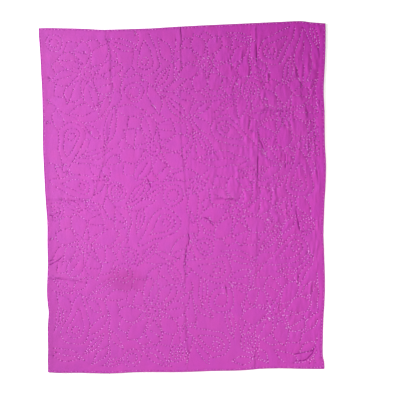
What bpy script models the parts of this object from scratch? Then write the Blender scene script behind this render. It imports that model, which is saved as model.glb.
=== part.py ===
"""Kantha quilt: thin layers of cotton, sewn together with rows of running stitch, lying flat.

The whole quilt is one piece of cloth work, so it is one closed solid: a flat underside, a turned-in hem
all round, and a top face that is drawn down along every main row of stitches and puffs up between them.
The underside lies on z = 0, the length runs along Y, and the origin is under the middle of the outline.
"""

import math

import bmesh
import bpy
import numpy as np
from mathutils import kdtree
from mathutils.geometry import delaunay_2d_cdt

# Every size and place in this file is in millimetres; the mesh is scaled to metres at the end.
MM = 0.001

# ---- cloth ------------------------------------------------------------------------------------------
SEWN_THICKNESS = 1.6    # where stitches draw the layers together
PUFF = 2.4              # how far the layers stand up between rows of stitches
PUFF_REACH = 11.0       # distance from a row at which most of that height is reached
RIM_THICKNESS = 1.2     # square edge of the hem
HEM_ROLL = 3.0          # thickness over the folded edge
HEM_ROLL_INSET = 2.5
HEM_ROW_INSET = 7.0     # the row of stitches that closes the hem
HEM_ROW_SLACK = 0.5
DRAWING_INSET = 24.0    # the stitched drawing keeps this far from the edge
THINNEST = 1.0

# ---- mesh -------------------------------------------------------------------------------------------
RIM_STEP = 27.0
ROW_STEP = 20.0
PUFF_STEP = 21.0
HALF_FIELD = (700, 850)  # a box that holds the outline
# step between spare points, and the band of distances from a row that they fill
LATTICES = ((21.0, 11.5, 30.0), (44.0, 30.0, 1000.0))
LEAST_GAP = 9.0        # between two points of the top face

# ---- outline ----------------------------------------------------------------------------------------
# corner: across, up
CORNERS = ((-635, 747), (633, 768), (629, -759), (-593, -774))
CORNER_ROUND = (3, 6, 4, 9)

# Each edge runs clockwise from its corner. Rows: distance along the edge, how far it bows outwards.
TOP_EDGE = (
    (52, 0), (185, -5), (275, -11), (360, -11), (495, -9), (582, -5),
    (715, 0), (892, 5), (1069, 10), (1157, 12), (1201, 6), (1246, 2),
)
RIGHT_EDGE = (
    (40, 1), (130, 0), (217, -4), (305, -7), (394, -3), (527, -1), (615, 4), (703, 3),
    (792, -2), (924, -6), (1013, -3), (1145, 1), (1234, -1), (1322, -6), (1455, -8), (1499, -1),
)
BOTTOM_EDGE = (
    (62, -1), (106, -2), (195, -5), (283, -4), (371, 2), (504, 3), (637, 6),
    (814, 4), (946, 8), (1079, 4), (1167, 3),
)
LEFT_EDGE = (
    (62, -1), (107, -3), (195, -4), (262, -10), (302, -7), (347, -5), (391, -7), (479, -12),
    (568, -13), (656, -15), (745, -11), (833, -8), (922, -6), (1010, -5), (1098, -7),
    (1231, -8), (1320, -6), (1408, -4), (1475, -1),
)
EDGES = (TOP_EDGE, RIGHT_EDGE, BOTTOM_EDGE, LEFT_EDGE)

# ---- creases left by folding the quilt in four each way, and at the right two tight tucks -----------
# depth, half width, points along it as (across, up)
CREASES = (
    (1.0, 7, ((-348, 790), (-334, 700), (-318, 640), (-318, 560), (-308, 450))),
    (0.8, 7, ((-330, 350), (-338, 200), (-365, 100), (-395, -10))),
    (1.25, 5, ((-6, 800), (-5.5, 700), (-5.5, 600), (-3, 535))),
    (0.8, 6, ((-8, 520), (-9, 390), (-6, 270), (7, 120), (20, -10))),
    (0.6, 6, ((36, -30), (32, -90), (23, -200))),
    (1.15, 5, ((23, -190), (17, -240), (14, -320), (8, -430))),
    (1.0, 7, ((10, -450), (14, -570), (23, -670), (22, -800))),
    (1.3, 6, ((324, 800), (327, 690), (329, 610), (334, 535))),
    (0.7, 6, ((335, 540), (339, 450), (335, 385))),
    (1.0, 6, ((345, 395), (342, 300), (337, 215))),
    (1.25, 5, ((338, 235), (334, 165), (333, 115), (332, 45))),
    (0.8, 7, ((330, -100), (326, -420))),
    (1.0, 7, ((324, -640), (316, -800))),
    (1.1, 9, ((-650, -8), (-560, -9), (-490, -12), (-395, -14))),
    (1.5, 8, ((-650, -354), (-560, -357), (-490, -364), (-400, -380))),
    (2.3, 7, ((315, 390), (400, 386), (490, 384))),
    (0.9, 6, ((-100, 325), (-30, 324))),
    (1.9, 6, ((130, -3), (265, -9))),
    (0.7, 7, ((250, -187), (390, -204), (515, -217))),
    (1.8, 5, ((512, -98), (515, -118), (521, -138), (532, -150))),
    (1.8, 5, ((548, -681), (573, -676), (571, -690), (560, -706), (532, -721))),
)
SHOULDER = 0.55         # height of the soft bank beside a crease, as a share of its depth
SHOULDER_WIDTH = 3.2    # width of that bank, as a share of the crease's half width

# ---- puckers: short ridges where a row was pulled tight ---------------------------------------------
# across, up, length, half width, height, anticlockwise turn from upright in degrees
PUCKERS = (
    (500, 580, 65, 6, 1.8, 4), (525, 490, 50, 6, 1.6, 12), (545, 385, 54, 6, 2.1, 10),
    (566, 270, 86, 6, 2.1, 3), (590, 120, 94, 6, 2.2, 8), (604, 410, 50, 5.5, 1.8, 5),
    (464, 165, 68, 6, 2.4, 2), (548, 110, 79, 6, 1.9, 3), (562, -235, 72, 6, 2.1, 8),
    (566, -430, 94, 6, 1.9, -3), (412, 40, 58, 6, 1.8, -8), (214, 580, 47, 6, 1.8, 3),
    (262, 620, 58, 5.5, 1.6, 0), (293, 560, 65, 5.5, 1.6, -3), (420, 640, 43, 5.5, 1.4, 4),
    (380, 520, 58, 5.5, 1.6, 6), (508, -360, 76, 6, 1.9, 3), (424, -480, 54, 6, 1.6, -8),
    (86, 165, 40, 6, 1.8, 6), (150, 180, 54, 6, 1.9, 35), (190, -412, 43, 6.5, 1.8, 12),
    (520, 250, 58, 5.5, 1.8, -4), (440, 330, 50, 5.5, 1.6, 6), (600, -120, 65, 5.5, 1.6, -4),
    (250, 330, 43, 5.5, 1.4, 10), (150, 700, 43, 5.5, 1.4, 0), (460, -60, 65, 5.5, 1.4, 5),
    (600, 640, 58, 5.5, 1.6, 4),
)

PUCKER_FOOT = 1.7       # where a ridge runs out to each side, in half widths
PUCKER_CREST = 0.45     # where its crest ends, as a share of its length

# ---- stitched drawing: lotuses, paisleys, wheels and leafy vines ------------------------------------
# across, up, radius, turn in degrees
LOTUSES = (
    (-420, 545, 165, 10), (110, 590, 150, 25), (450, 370, 165, 0), (-120, 215, 170, 15),
    (245, -60, 170, 8), (-425, -215, 165, 20), (420, -500, 170, 12), (-130, -505, 165, 5),
)
LOTUS_PETALS = 8
LOTUS_HUB = 0.19        # radius of the hub, as a share of the lotus's own
LOTUS_REACH = 0.95      # shares of the lotus's radius
LOTUS_PETAL_WIDTH = 0.44
PETAL_FULLNESS = 1.2    # over 1 is widest towards the tip

# across, up, length, turn in degrees, side that the tip leans to
PAISLEYS = (
    (-160, 600, 215, 25, 1), (400, 645, 210, -60, -1), (-490, 265, 215, 150, -1),
    (190, 300, 210, -100, 1), (520, 60, 215, 20, 1), (-440, 45, 200, 60, -1),
    (-70, -110, 215, 150, 1), (500, -225, 200, 100, -1), (-470, -590, 220, 10, 1),
    (160, -320, 210, 60, -1), (150, -650, 200, 80, 1),
)

# across, up, radius
WHEELS = (
    (-290, 20, 42), (300, 470, 40), (-560, -60, 40), (300, -640, 42), (590, 230, 40), (-20, -690, 38),
)

# leaf length, points along the stem as (across, up)
VINES = (
    (120, ((-590, 420), (-420, 330), (-280, 420), (-240, 560), (-60, 470), (-30, 700))),
    (115, ((300, 720), (290, 520), (190, 440), (40, 400), (70, 200))),
    (110, ((600, 560), (560, 190), (400, 160), (330, 230))),
    (120, ((-600, 150), (-330, 130), (-340, -30), (-230, -60), (-240, -200))),
    (120, ((110, 120), (20, 20), (60, -60), (60, -200), (-60, -290), (-220, -290))),
    (115, ((610, -100), (460, -90), (420, -260), (320, -310), (270, -500))),
    (115, ((-590, -410), (-420, -440), (-330, -480), (-320, -730))),
    (110, ((600, -330), (580, -700), (340, -720), (250, -560))),
    (110, ((40, -380), (60, -560), (20, -740))),
)
LEAF_WIDTH = 0.36       # share of the leaf's length
LEAF_FULLNESS = 0.9
LEAF_PITCH = 0.62       # distance between leaves along the stem, as a share of their length
LEAF_LEAN = 42          # degrees from the stem
FIRST_LEAF = 30
LEAF_STALK = 8

HAND_WAVER = 3.5        # how far a hand-sewn row strays from a true curve
HAND_WAVE = 150.0       # length of that waver
FINE_STEP = 4.0         # between points of a row before it is thinned for the mesh
CURVE_POINTS, LEAF_POINTS, RING_POINTS, PAISLEY_POINTS = 24, 28, 40, 60
SHORTEST_ROW = 4        # points; a shorter scrap of a row is left out


def turned(points, degrees, place=(0, 0)):
    """The points turned anticlockwise and then moved to a place."""
    c, s = math.cos(math.radians(degrees)), math.sin(math.radians(degrees))
    return np.asarray(points, float) @ np.array([[c, s], [-s, c]]) + np.asarray(place, float)


def distances_along(line):
    return np.concatenate([[0], np.cumsum(np.hypot(*np.diff(line, axis=0).T))])


def evenly(line, step):
    """The same line with its points an even step apart."""
    along = distances_along(line)
    stations = np.linspace(0, along[-1], max(2, round(along[-1] / step) + 1))
    return np.stack([np.interp(stations, along, line[:, axis]) for axis in (0, 1)], axis=1)


def smooth_line(points):
    """A Catmull-Rom curve through a few hand-placed points."""
    points = np.array(points, float)
    ends = (2 * points[0] - points[1], 2 * points[-1] - points[-2])
    knots = np.vstack([ends[0], points, ends[1]])
    t = np.linspace(0, 1, CURVE_POINTS, endpoint=False)[:, None]
    pieces = []
    for p0, p1, p2, p3 in zip(knots, knots[1:], knots[2:], knots[3:]):
        bend = (2 * p0 - 5 * p1 + 4 * p2 - p3) * t**2 + (-p0 + 3 * p1 - 3 * p2 + p3) * t**3
        pieces.append(0.5 * (2 * p1 + (p2 - p0) * t + bend))
    return np.vstack(pieces + [points[-1:]])


def inside(points, polygon):
    """Which points lie inside a closed polygon, by counting the sides that a ray crosses."""
    x, y = points[:, :1], points[:, 1:]
    a, b = polygon, np.roll(polygon, -1, axis=0)
    rise = np.where(a[:, 1] == b[:, 1], 1.0, b[:, 1] - a[:, 1])
    crosses = (a[:, 1] > y) != (b[:, 1] > y)
    left_of = x < a[:, 0] + (b[:, 0] - a[:, 0]) * (y - a[:, 1]) / rise
    return (crosses & left_of).sum(axis=1) % 2 == 1


def tree_of(points):
    tree = kdtree.KDTree(len(points))
    for index, (x, y) in enumerate(points):
        tree.insert((x, y, 0), index)
    tree.balance()
    return tree


def edge_line(start, end, rows, step):
    """One edge of the quilt, bowed as its rows say, without its last point."""
    start, end = np.array(start, float), np.array(end, float)
    length = np.hypot(*(end - start))
    run = (end - start) / length
    outward = np.array([-run[1], run[0]])
    bowed = smooth_line([(0, 0), *rows, (length, 0)])
    line = start + bowed[:, :1] * run + bowed[:, 1:] * outward
    return evenly(line, step)[:-1]


def outline(step, inset=0.0):
    """The quilt's outline, clockwise from its top left corner, and moved inwards by an inset."""
    rim = []
    for index, rows in enumerate(EDGES):
        edge = edge_line(CORNERS[index], CORNERS[(index + 1) % 4], rows, step)
        rim.append(edge)
    rim = np.vstack(rim)
    before, after = np.roll(rim, 1, axis=0), np.roll(rim, -1, axis=0)
    along = (after - before) / np.hypot(*(after - before).T)[:, None]
    for corner, roundness in zip(CORNERS, CORNER_ROUND):
        at = np.hypot(*(rim - corner).T).argmin()
        middle = (before[at] + after[at]) / 2
        inwards = (middle - rim[at]) / np.hypot(*(middle - rim[at]))
        rim[at] += inwards * (roundness * (math.sqrt(2) - 1) + inset * (math.sqrt(2) - 1))
    return rim + inset * np.stack([along[:, 1], -along[:, 0]], axis=1)


def leaf(base, tip, width, fullness):
    """A closed pointed oval, from its base round its tip and back."""
    base, tip = np.array(base, float), np.array(tip, float)
    t = np.linspace(0, 1, LEAF_POINTS)[:, None]
    across = np.array([base[1] - tip[1], tip[0] - base[0]]) / np.hypot(*(tip - base))
    half = 0.5 * width * np.sin(math.pi * t**fullness).clip(0) ** 1.15
    middle = base + (tip - base) * t
    return np.vstack([middle + half * across, (middle - half * across)[-2::-1]])


def ring(place, radius):
    t = np.linspace(0, 2 * math.pi, RING_POINTS)
    return np.array(place) + radius * np.stack([np.cos(t), np.sin(t)], axis=1)


def paisley(place, length, turn, side):
    """A closed drop, from its tip round and back, whose tip leans over to one side."""
    radius = 0.29 * length
    t = math.pi / 2 + np.linspace(0, 2 * math.pi, PAISLEY_POINTS)
    pull = np.sin(t).clip(0)
    x = radius * np.cos(t) * (1 - 0.35 * pull**3) + side * 0.22 * length * pull**2
    y = radius * np.sin(t) + 0.95 * (length - 2 * radius) * pull**3
    return turned(np.stack([x, y], axis=1), turn, place)


class Drawing:
    """Rows of stitches. A row stops at the drawing's border and behind the shapes sewn before it."""

    def __init__(self):
        self.border = outline(RIM_STEP, DRAWING_INSET)
        self.rows = []
        self.shapes = []
        self.middles = []

    def add(self, line, is_shape=True):
        line = evenly(line, FINE_STEP)
        x, y = line.T * 2 * math.pi / HAND_WAVE
        sideways = np.sin(1.1 * y + 1.3) + 0.6 * np.sin(0.7 * x - 1.9 * y)
        upwards = np.sin(0.9 * x + 0.4) + 0.6 * np.sin(1.7 * x + 0.6 * y + 2)
        line = line + HAND_WAVER * np.stack([sideways, upwards], axis=1)
        shown = inside(line, self.border)
        for shape in self.shapes:
            near = ((line > shape.min(axis=0)) & (line < shape.max(axis=0))).all(axis=1)
            where = np.nonzero(shown & near)[0]
            if len(where):
                shown[where] = ~inside(line[where], shape)
        where = np.nonzero(shown)[0]
        for run in np.split(where, np.nonzero(np.diff(where) > 1)[0] + 1):
            if len(run) > SHORTEST_ROW:
                self.rows.append(line[run])
        if is_shape:
            middle = evenly((line + line[::-1])[: len(line) // 2] / 2, PUFF_STEP)
            clear = inside(middle, self.border)
            for shape in self.shapes:
                clear &= ~inside(middle, shape)
            self.middles.append(middle[clear])
            self.shapes.append(line)

    def add_lotus(self, place, radius, turn):
        self.add(ring(place, LOTUS_HUB * radius))
        for petal in range(LOTUS_PETALS):
            angle = turn + 360 * petal / LOTUS_PETALS
            reach = LOTUS_REACH * radius * (1 + 0.05 * math.sin(5 * petal + radius))
            base, tip = turned([(LOTUS_HUB * radius, 0), (reach, 0)], angle, place)
            self.add(leaf(base, tip, LOTUS_PETAL_WIDTH * radius, PETAL_FULLNESS))

    def add_vine(self, leaf_length, points):
        stem = evenly(smooth_line(points), FINE_STEP)
        pitch = LEAF_PITCH * leaf_length
        for count in range(int((len(stem) * FINE_STEP - FIRST_LEAF) / pitch)):
            at = min(round((FIRST_LEAF + pitch * count) / FINE_STEP), len(stem) - 2)
            side = 1 if count % 2 else -1
            lean = side * (LEAF_LEAN + 10 * math.sin(2.1 * count))
            length = leaf_length * (1 + 0.22 * math.sin(1.7 * count + leaf_length))
            along = math.degrees(math.atan2(*(stem[at + 1] - stem[at - 1])[::-1]))
            base, tip = turned([(LEAF_STALK, 0), (LEAF_STALK + length, 0)], along + lean, stem[at])
            self.add(leaf(base, tip, LEAF_WIDTH * length, LEAF_FULLNESS))
        self.add(stem, is_shape=False)


def stitched_drawing():
    drawing = Drawing()
    for across, up, radius, turn in LOTUSES:
        drawing.add_lotus((across, up), radius, turn)
    for across, up, length, turn, side in PAISLEYS:
        drawing.add(paisley((across, up), length, turn, side))
    for across, up, radius in WHEELS:
        drawing.add(ring((across, up), radius))
    for leaf_length, points in VINES:
        drawing.add_vine(leaf_length, points)
    return drawing


def crease_relief(points):
    """A groove along each crease, with a soft bank on both sides."""
    relief = np.zeros(len(points))
    for depth, half_width, knots in CREASES:
        line = evenly(smooth_line(knots), FINE_STEP)
        away = np.min([np.hypot(*(points - p).T) for p in line], axis=0)
        bank = SHOULDER * np.exp(-((away / (SHOULDER_WIDTH * half_width)) ** 2))
        relief += depth * (bank - (1 + SHOULDER) * np.exp(-((away / half_width) ** 2)))
    return relief


def pucker_relief(points):
    """A short rounded ridge for each pucker."""
    relief = np.zeros(len(points))
    for across, up, length, half_width, height, turn in PUCKERS:
        x, y = turned(points - (across, up), -turn).T
        relief += height * np.exp(-((x / half_width) ** 2) - (2 * y / length) ** 4)
    return relief


def lattice(step):
    """Points in rows of equal triangles over the whole quilt."""
    across = np.arange(-HALF_FIELD[0], HALF_FIELD[0], step)
    up = np.arange(-HALF_FIELD[1], HALF_FIELD[1], step * math.sqrt(0.75))
    columns, lines = np.meshgrid(across, up)
    columns[1::2] += step / 2
    return np.stack([columns.ravel(), lines.ravel()], axis=1)


def top_points():
    """The points of the top face, those of the rim first, with the heights that they lie at."""
    drawing = stitched_drawing()
    rim = outline(RIM_STEP)
    roll = outline(RIM_STEP, HEM_ROLL_INSET)
    hem_row = outline(RIM_STEP, HEM_ROW_INSET)
    sewn = np.vstack([hem_row] + drawing.rows)
    sewn_tree = tree_of(sewn)
    wanted = [hem_row]
    for depth, half_width, knots in CREASES:
        wanted.append(evenly(smooth_line(knots), RIM_STEP))
    for across, up, length, half_width, height, turn in PUCKERS:
        for side in (0, -PUCKER_FOOT * half_width, PUCKER_FOOT * half_width):
            ends = [(side, -PUCKER_CREST * length), (side, PUCKER_CREST * length)]
            wanted.append(evenly(turned(ends, turn, (across, up)), ROW_STEP))
    wanted += [evenly(row, ROW_STEP) for row in drawing.rows]
    wanted += drawing.middles
    for step, nearest, farthest in LATTICES:
        spots = lattice(step)
        away = np.array([sewn_tree.find((*p, 0))[2] for p in spots])
        wanted.append(spots[(away > nearest) & (away < farthest)])

    inner = np.vstack(wanted)
    inner = inner[inside(inner, outline(RIM_STEP, HEM_ROW_INSET - HEM_ROW_SLACK))]
    kept = []
    cells = {}
    for point in inner:
        column, line = (point // LEAST_GAP).astype(int)
        around = [cells.get((column + i, line + j), ()) for i in (-1, 0, 1) for j in (-1, 0, 1)]
        if all(math.dist(point, other) >= LEAST_GAP for cell in around for other in cell):
            cells.setdefault((column, line), []).append(tuple(point))
            kept.append(point)
    kept = np.array(kept)
    away = np.array([sewn_tree.find((*p, 0))[2] for p in kept])
    height = SEWN_THICKNESS + PUFF * (1 - np.exp(-((away / PUFF_REACH) ** 2)))
    height += crease_relief(kept) + pucker_relief(kept)
    points = np.vstack([rim, roll, kept])
    heights = np.concatenate([
        np.full(len(rim), RIM_THICKNESS),
        np.full(len(roll), HEM_ROLL),
        height.clip(THINNEST),
    ])
    return len(rim), points, heights


def build_quilt():
    rim_count, points, heights = top_points()
    middle = (points.min(axis=0) + points.max(axis=0)) / 2
    rim_edges = [(i, (i + 1) % rim_count) for i in range(rim_count)]
    corners, _, faces, origins, _, _ = delaunay_2d_cdt([tuple(p) for p in points], rim_edges, [], 1, 0.01)

    mesh = bmesh.new()
    for corner, origin in zip(corners, origins):
        x, y = np.array(corner) - middle
        mesh.verts.new((x * MM, y * MM, heights[origin[0]] * MM))
    mesh.verts.ensure_lookup_table()
    for face in faces:
        mesh.faces.new([mesh.verts[i] for i in face])
    bmesh.ops.recalc_face_normals(mesh, faces=mesh.faces)

    rim = [edge for edge in mesh.edges if edge.is_boundary]
    skirt = bmesh.ops.extrude_edge_only(mesh, edges=rim)["geom"]
    low_edges = [item for item in skirt if isinstance(item, bmesh.types.BMEdge) and item.is_boundary]
    for vert in {vert for edge in low_edges for vert in edge.verts}:
        vert.co.z = 0.0
    bmesh.ops.triangle_fill(mesh, use_beauty=True, use_dissolve=False, edges=low_edges)
    bmesh.ops.recalc_face_normals(mesh, faces=mesh.faces)
    if mesh.calc_volume(signed=True) < 0:
        bmesh.ops.reverse_faces(mesh, faces=mesh.faces)

    data = bpy.data.meshes.new("quilt")
    mesh.to_mesh(data)
    mesh.free()
    data.shade_smooth()
    data.set_sharp_from_angle(angle=math.radians(60))
    quilt = bpy.data.objects.new("quilt", data)
    bpy.context.collection.objects.link(quilt)
    data.materials.append(cotton())


def cotton():
    """Magenta cotton, matt."""
    material = bpy.data.materials.new("magenta cotton")
    material.use_nodes = True
    shader = material.node_tree.nodes["Principled BSDF"]
    shader.inputs["Base Color"].default_value = (0.59, 0.085, 0.49, 1)
    shader.inputs["Roughness"].default_value = 0.9
    shader.inputs["Metallic"].default_value = 0.0
    return material


def main():
    for old in list(bpy.data.objects):
        bpy.data.objects.remove(old)
    build_quilt()


main()
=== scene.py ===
"""Kantha quilt, dressed: the stitched cloth, its thread and a plain studio.

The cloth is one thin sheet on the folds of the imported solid. Its main rows of stitches are set out by the
same sizes as that solid's. It dips along every row, stands up between them, and gathers into ripples.
"""

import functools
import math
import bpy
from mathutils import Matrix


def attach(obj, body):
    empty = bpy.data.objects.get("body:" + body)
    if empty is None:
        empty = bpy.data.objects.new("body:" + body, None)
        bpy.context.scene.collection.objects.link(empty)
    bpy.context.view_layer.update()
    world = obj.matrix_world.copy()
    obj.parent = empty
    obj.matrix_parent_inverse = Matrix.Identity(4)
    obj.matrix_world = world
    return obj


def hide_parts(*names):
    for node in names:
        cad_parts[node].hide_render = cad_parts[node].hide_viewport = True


bl_info = {
    "name": "Kantha quilt",
    "version": (1, 0, 0),
    "blender": (4, 5, 0),
    "location": "3D View > Sidebar > Quilt",
    "description": "A hand-stitched cotton quilt lying flat in a plain studio",
    "category": "Add Mesh",
}

import bmesh
import bpy
import numpy as np
from mathutils import Matrix, Vector, kdtree, noise
from mathutils.bvhtree import BVHTree

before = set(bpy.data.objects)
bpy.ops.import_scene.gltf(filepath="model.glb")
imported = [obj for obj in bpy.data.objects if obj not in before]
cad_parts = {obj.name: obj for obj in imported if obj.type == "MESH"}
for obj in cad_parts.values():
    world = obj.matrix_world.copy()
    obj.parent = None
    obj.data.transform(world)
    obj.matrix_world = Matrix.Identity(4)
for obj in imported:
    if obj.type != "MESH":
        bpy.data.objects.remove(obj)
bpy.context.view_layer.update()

NODE = "quilt"
BODY = "root"
MM = 0.001  # the cloth is laid out in millimetres, and scaled as its points are placed

# ---- outline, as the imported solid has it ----

# from the top left clockwise: across, up; and how far each is rounded
CORNERS = ((-635, 747), (633, 768), (629, -759), (-593, -774))
CORNER_ROUND = (3, 6, 4, 9)

# the top, right, bottom and left edge, each clockwise: distance along it, how far it bows outwards
EDGES = (
    (
        (52, 0), (185, -5), (275, -11), (360, -11), (495, -9), (582, -5),
        (715, 0), (892, 5), (1069, 10), (1157, 12), (1201, 6), (1246, 2),
    ),
    (
        (40, 1), (130, 0), (217, -4), (305, -7), (394, -3), (527, -1), (615, 4), (703, 3),
        (792, -2), (924, -6), (1013, -3), (1145, 1), (1234, -1), (1322, -6), (1455, -8), (1499, -1),
    ),
    (
        (62, -1), (106, -2), (195, -5), (283, -4), (371, 2), (504, 3), (637, 6),
        (814, 4), (946, 8), (1079, 4), (1167, 3),
    ),
    (
        (62, -1), (107, -3), (195, -4), (262, -10), (302, -7), (347, -5), (391, -7), (479, -12),
        (568, -13), (656, -15), (745, -11), (833, -8), (922, -6), (1010, -5), (1098, -7),
        (1231, -8), (1320, -6), (1408, -4), (1475, -1),
    ),
)
RIM_STEP = 27.0  # between the points of the rim
RIM_CELL = 0.3  # width of the sheet's outermost cells, as a share of the others
EDGE_TURN = 1.2  # how far in from the rim the cloth turns down

# ---- creases from folding the quilt, and long soft folds ----

# depth, half width, points along it as (across, up)
CREASES = (
    (1.0, 7, ((-348, 790), (-334, 700), (-318, 640), (-318, 560), (-308, 450))),
    (0.8, 7, ((-330, 350), (-338, 200), (-365, 100), (-395, -10))),
    (1.25, 5, ((-6, 800), (-5.5, 700), (-5.5, 600), (-3, 535))),
    (0.8, 6, ((-8, 520), (-9, 390), (-6, 270), (7, 120), (20, -10))),
    (0.9, 6, ((36, -30), (32, -90), (23, -200))),
    (1.15, 5, ((23, -190), (17, -240), (14, -320), (8, -430))),
    (1.0, 7, ((10, -450), (14, -570), (23, -670), (22, -800))),
    (1.3, 6, ((324, 800), (327, 690), (329, 610), (334, 535))),
    (0.7, 6, ((335, 540), (339, 450), (335, 385))), (1.0, 6, ((345, 395), (342, 300), (337, 215))),
    (1.25, 5, ((338, 235), (334, 165), (333, 115), (332, 45))), (0.8, 7, ((330, -100), (326, -420))),
    (1.5, 7, ((324, -640), (316, -800))), (1.1, 9, ((-650, -8), (-560, -9), (-490, -12), (-395, -14))),
    (1.5, 8, ((-650, -354), (-560, -357), (-490, -364), (-400, -380))),
    (2.3, 7, ((315, 390), (400, 386), (490, 384))), (0.9, 6, ((-100, 325), (-30, 324))),
    (2.6, 7, ((130, -3), (265, -9))), (0.7, 7, ((250, -187), (390, -204), (515, -217))),
    (1.3, 8, ((482, 640), (500, 560), (515, 506), (532, 418), (554, 330), (560, 190))),
    (0.9, 7, ((590, 640), (584, 520), (576, 420))), (0.9, 7, ((580, 320), (590, 200), (598, 90))),
)
BANK = 3.2  # width of the bank that rises to a crease, in half widths
CREST_SHARE = 0.55  # how much of a crease's drop stands above the cloth around it
HOLLOW_WIDTH = 0.4  # of the hollow past the drop, as a share of the bank
CREASE_FADE = 40.0  # length over which a crease dies away at each end
FOOT_PLACE, FOOT_WIDTH = 1 / 3, 0.5  # of the drop's foot, which gets painted shade, in half widths
LEVEL_SHADE = 2.6  # how much more painted shade the foot of a level crease gets than an upright one's

# ---- puckers ----

# across, up, length, half width, height, anticlockwise turn from upright in degrees
PUCKERS = (
    (500, 580, 65, 6, 1.8, 4), (525, 490, 50, 6, 1.6, 12), (545, 385, 54, 6, 2.1, 10),
    (566, 270, 86, 6, 2.1, 3), (590, 120, 94, 6, 2.2, 8), (604, 410, 50, 5.5, 1.8, 5),
    (464, 165, 68, 6, 2.4, 2), (548, 110, 79, 6, 1.9, 3), (562, -235, 72, 6, 2.1, 8),
    (566, -430, 94, 6, 1.9, -3), (412, 40, 58, 6, 1.8, -8), (214, 580, 47, 6, 1.8, 3),
    (262, 620, 58, 5.5, 1.6, 0), (293, 560, 65, 5.5, 1.6, -3), (420, 640, 43, 5.5, 1.4, 4),
    (380, 520, 58, 5.5, 1.6, 6), (508, -360, 76, 6, 1.9, 3), (424, -480, 54, 6, 1.6, -8),
    (86, 165, 40, 6, 1.8, 6), (150, 180, 54, 6, 1.9, 35), (190, -408, 43, 8, 2.6, 12),
    (520, 250, 58, 5.5, 1.8, -4), (440, 330, 50, 5.5, 1.6, 6), (600, -120, 65, 5.5, 1.6, -4),
    (250, 330, 43, 5.5, 1.4, 10), (150, 700, 43, 5.5, 1.4, 0), (460, -60, 65, 5.5, 1.4, 5),
    (600, 640, 58, 5.5, 1.6, 4),
)
PUCKER_RIDGE = 0.7  # share of the height
PUCKER_DROP = 0.5  # width of the right side's drop, in half widths
GROOVE_PLACE, GROOVE_WIDTH = 0.9, 0.4  # of the groove at its foot, in half widths
GROOVE_DEPTH = 0.4  # share of the height

# ---- tucks and snarls, where the thread is drawn tight; their gaps get painted shade ----

# how tightly, points along it as (across, up)
TUCKS = (
    (0.35, ((504, -58), (506, -84), (512, -104))), (1.3, ((512, -106), (515, -122), (519, -140))),
    (0.7, ((520, -142), (527, -149), (537, -151))), (0.6, ((493, -695), (524, -688), (555, -682))),
    (0.9, ((557, -682), (568, -680))), (1.5, ((568, -680), (578, -675), (583, -668))),
    (0.65, ((581, -673), (576, -688), (566, -700), (553, -714))),
    (0.95, ((551, -715), (542, -720), (532, -723))), (0.5, ((528, -722), (502, -722))),
    (0.35, ((-585, -300), (-567, -291))), (0.4, ((-562, -288), (-548, -280), (-532, -266))),
    (0.3, ((-586, -284), (-572, -276))), (0.35, ((-7, 753), (-6.3, 724))), (0.05, ((-6, 672), (-5.5, 650))),
    (0.4, ((329, 668), (330, 600))), (0.4, ((335, 182), (334, 140), (333, 88))),
    (0.4, ((21, -214), (16, -256), (14, -300))), (0.5, ((340, 258), (352, 236), (361, 205))),
    (0.5, ((456, 190), (457, 132))), (1.0, ((98, -90), (116, -96), (130, -108), (138, -122))),
    (0.5, ((27, -162), (33, -186), (27, -212))), (0.6, ((-152, 80), (-143, 62), (-137, 42))),
)
TUCK_PITCH = 3.6
TUCK_END_SLACK = 0.45  # how much slacker a tuck is at its two ends

# across, up, size, turn in degrees
KNOTS = (
    (-333, 85, 1.5, 20), (-519, 143, 0.9, 80), (-505, 108, 0.9, -30), (-231, -43, 1.1, 60),
    (-143, 67, 1.1, 10), (-417, -17, 1.2, 100), (-585, 523, 1.1, 0), (-174, 518, 0.9, 45),
    (-320, 695, 0.9, -60), (122, -96, 1.3, 30), (290, 32, 1.1, 80), (356, 209, 0.9, 10),
    (381, -98, 1.2, 100), (416, -129, 1.1, 60), (367, 196, 1.0, 120), (37, -196, 1.1, 30),
    (219, -392, 1.0, 0), (241, 500, 0.8, 60), (-430, 640, 0.8, 30), (-588, 425, 0.9, 10),
    (-590, 330, 0.9, 70), (-125, 403, 1.1, 30), (-360, 416, 0.9, 100), (-404, 285, 0.9, 0),
    (-576, -83, 1.0, 40), (-576, -185, 0.9, 90), (370, 433, 1.0, 60), (383, -538, 1.0, 20),
    (465, -577, 1.0, 100), (561, -245, 1.1, 0), (-205, 724, 0.9, 0),
)
KNOT_FORM = ((-5, 6), (4, 5), (-4, 0), (6, -3), (0, -9))
KNOT_PITCH = 6.5
KNOT_TIGHT = 0.7

# ---- stitched drawing: lotuses, paisleys, wheels and leafy vines ----

# across, up, radius, turn in degrees
LOTUSES = (
    (-420, 545, 165, 10), (110, 590, 150, 25), (450, 370, 165, 0), (-120, 215, 170, 15),
    (245, -60, 170, 8), (-425, -215, 165, 20), (420, -500, 170, 12), (-130, -505, 165, 5),
)
LOTUS_PETALS = 8
LOTUS_HUB, LOTUS_REACH, LOTUS_BACK_ROOT, LOTUS_EYE = 0.19, 0.95, 0.5, 0.09  # shares of the radius
PETAL_WIDTH = 0.44
PETAL_UNEVEN = 0.05
FRONT_PACE, BACK_PACE = 5, 3  # of how the petals' lengths change round a flower
PETAL_FULLNESS = 1.2  # over 1 is widest towards the tip

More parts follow.
